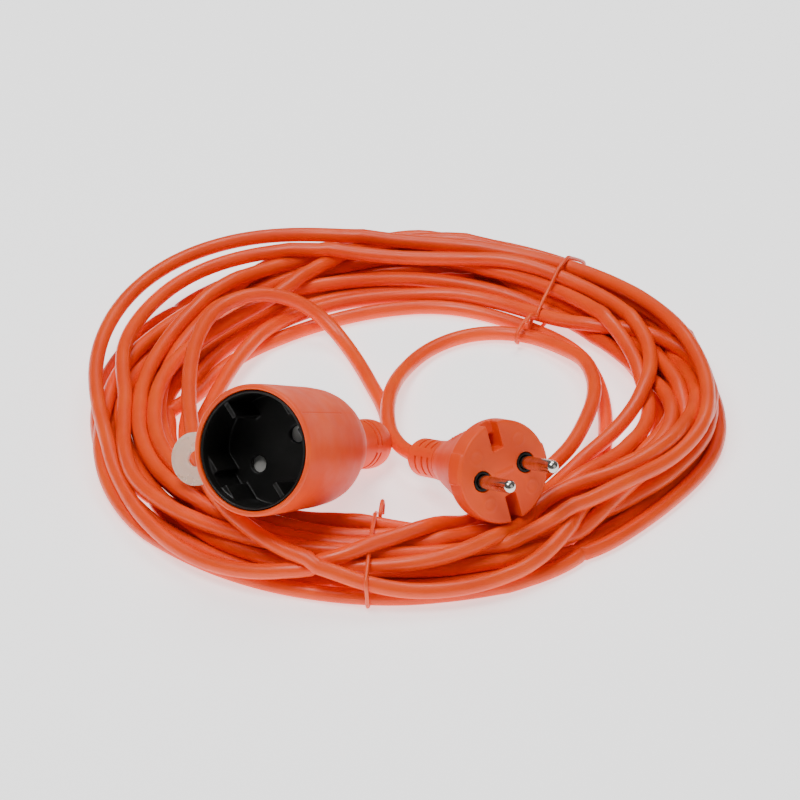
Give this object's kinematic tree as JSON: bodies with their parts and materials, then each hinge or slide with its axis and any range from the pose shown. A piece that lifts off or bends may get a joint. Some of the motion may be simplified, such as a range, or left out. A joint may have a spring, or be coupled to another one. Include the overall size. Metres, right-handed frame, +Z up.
{
  "type": "extension cord",
  "caption": "Coiled extension cord with a moulded contour plug at one end, a round portable socket with a shutter at the other, and wire ties round the coil.",
  "frame": {"origin": "middle of the coil, on the surface it lies on", "axes": "+Z up, out of the surface; -Y towards the side where the plug and socket rest on the coil; +X from the socket towards the plug"},
  "size_m": [0.242, 0.2418, 0.0719],
  "materials": {
    "orange_pvc": "smooth extruded PVC, semi-gloss",
    "moulded_orange": "moulded soft PVC, satin",
    "tie_plastic": "plastic-coated wire",
    "black_plastic": "fine satin",
    "grey_plastic": "satin",
    "milky_plastic": "translucent, smooth",
    "nickel": "bright nickel plate",
    "brass": "stamped",
    "steel": "zinc plate",
    "brown_insulation": "smooth",
    "blue_insulation": "smooth"
  },
  "bodies": {
    "cord_set": {"cord_coil": "orange_pvc", "socket_lead": "orange_pvc", "plug_lead": "orange_pvc", "coil_tie_front": "tie_plastic", "coil_tie_rear": "tie_plastic", "socket_housing": "moulded_orange", "socket_strain_relief": "moulded_orange", "socket_insert": "black_plastic", "contact_block": "black_plastic", "shutter_pivot": "steel", "shutter_spring": "steel", "contact_sleeve_left": "brass", "contact_sleeve_right": "brass", "socket_core_brown": "brown_insulation", "socket_core_blue": "blue_insulation", "hang_eye": "milky_plastic", "plug_body": "moulded_orange", "plug_strain_relief": "moulded_orange", "pin_bridge": "black_plastic", "plug_pin_left": "nickel", "plug_pin_right": "nickel", "plug_core_brown": "brown_insulation", "plug_core_blue": "blue_insulation"},
    "shutter": {"shutter": "grey_plastic"}
  },
  "joints": [
    {"name": "shutter_turn", "type": "hinge", "parent": "cord_set", "child": "shutter", "pos_m": [-0.04337, -0.07635, 0.04102], "axis": [-0.4496, -0.7512, 0.4833], "range_deg": [0, 42], "stiffness_Nm_per_rad": 0.01}
  ]
}
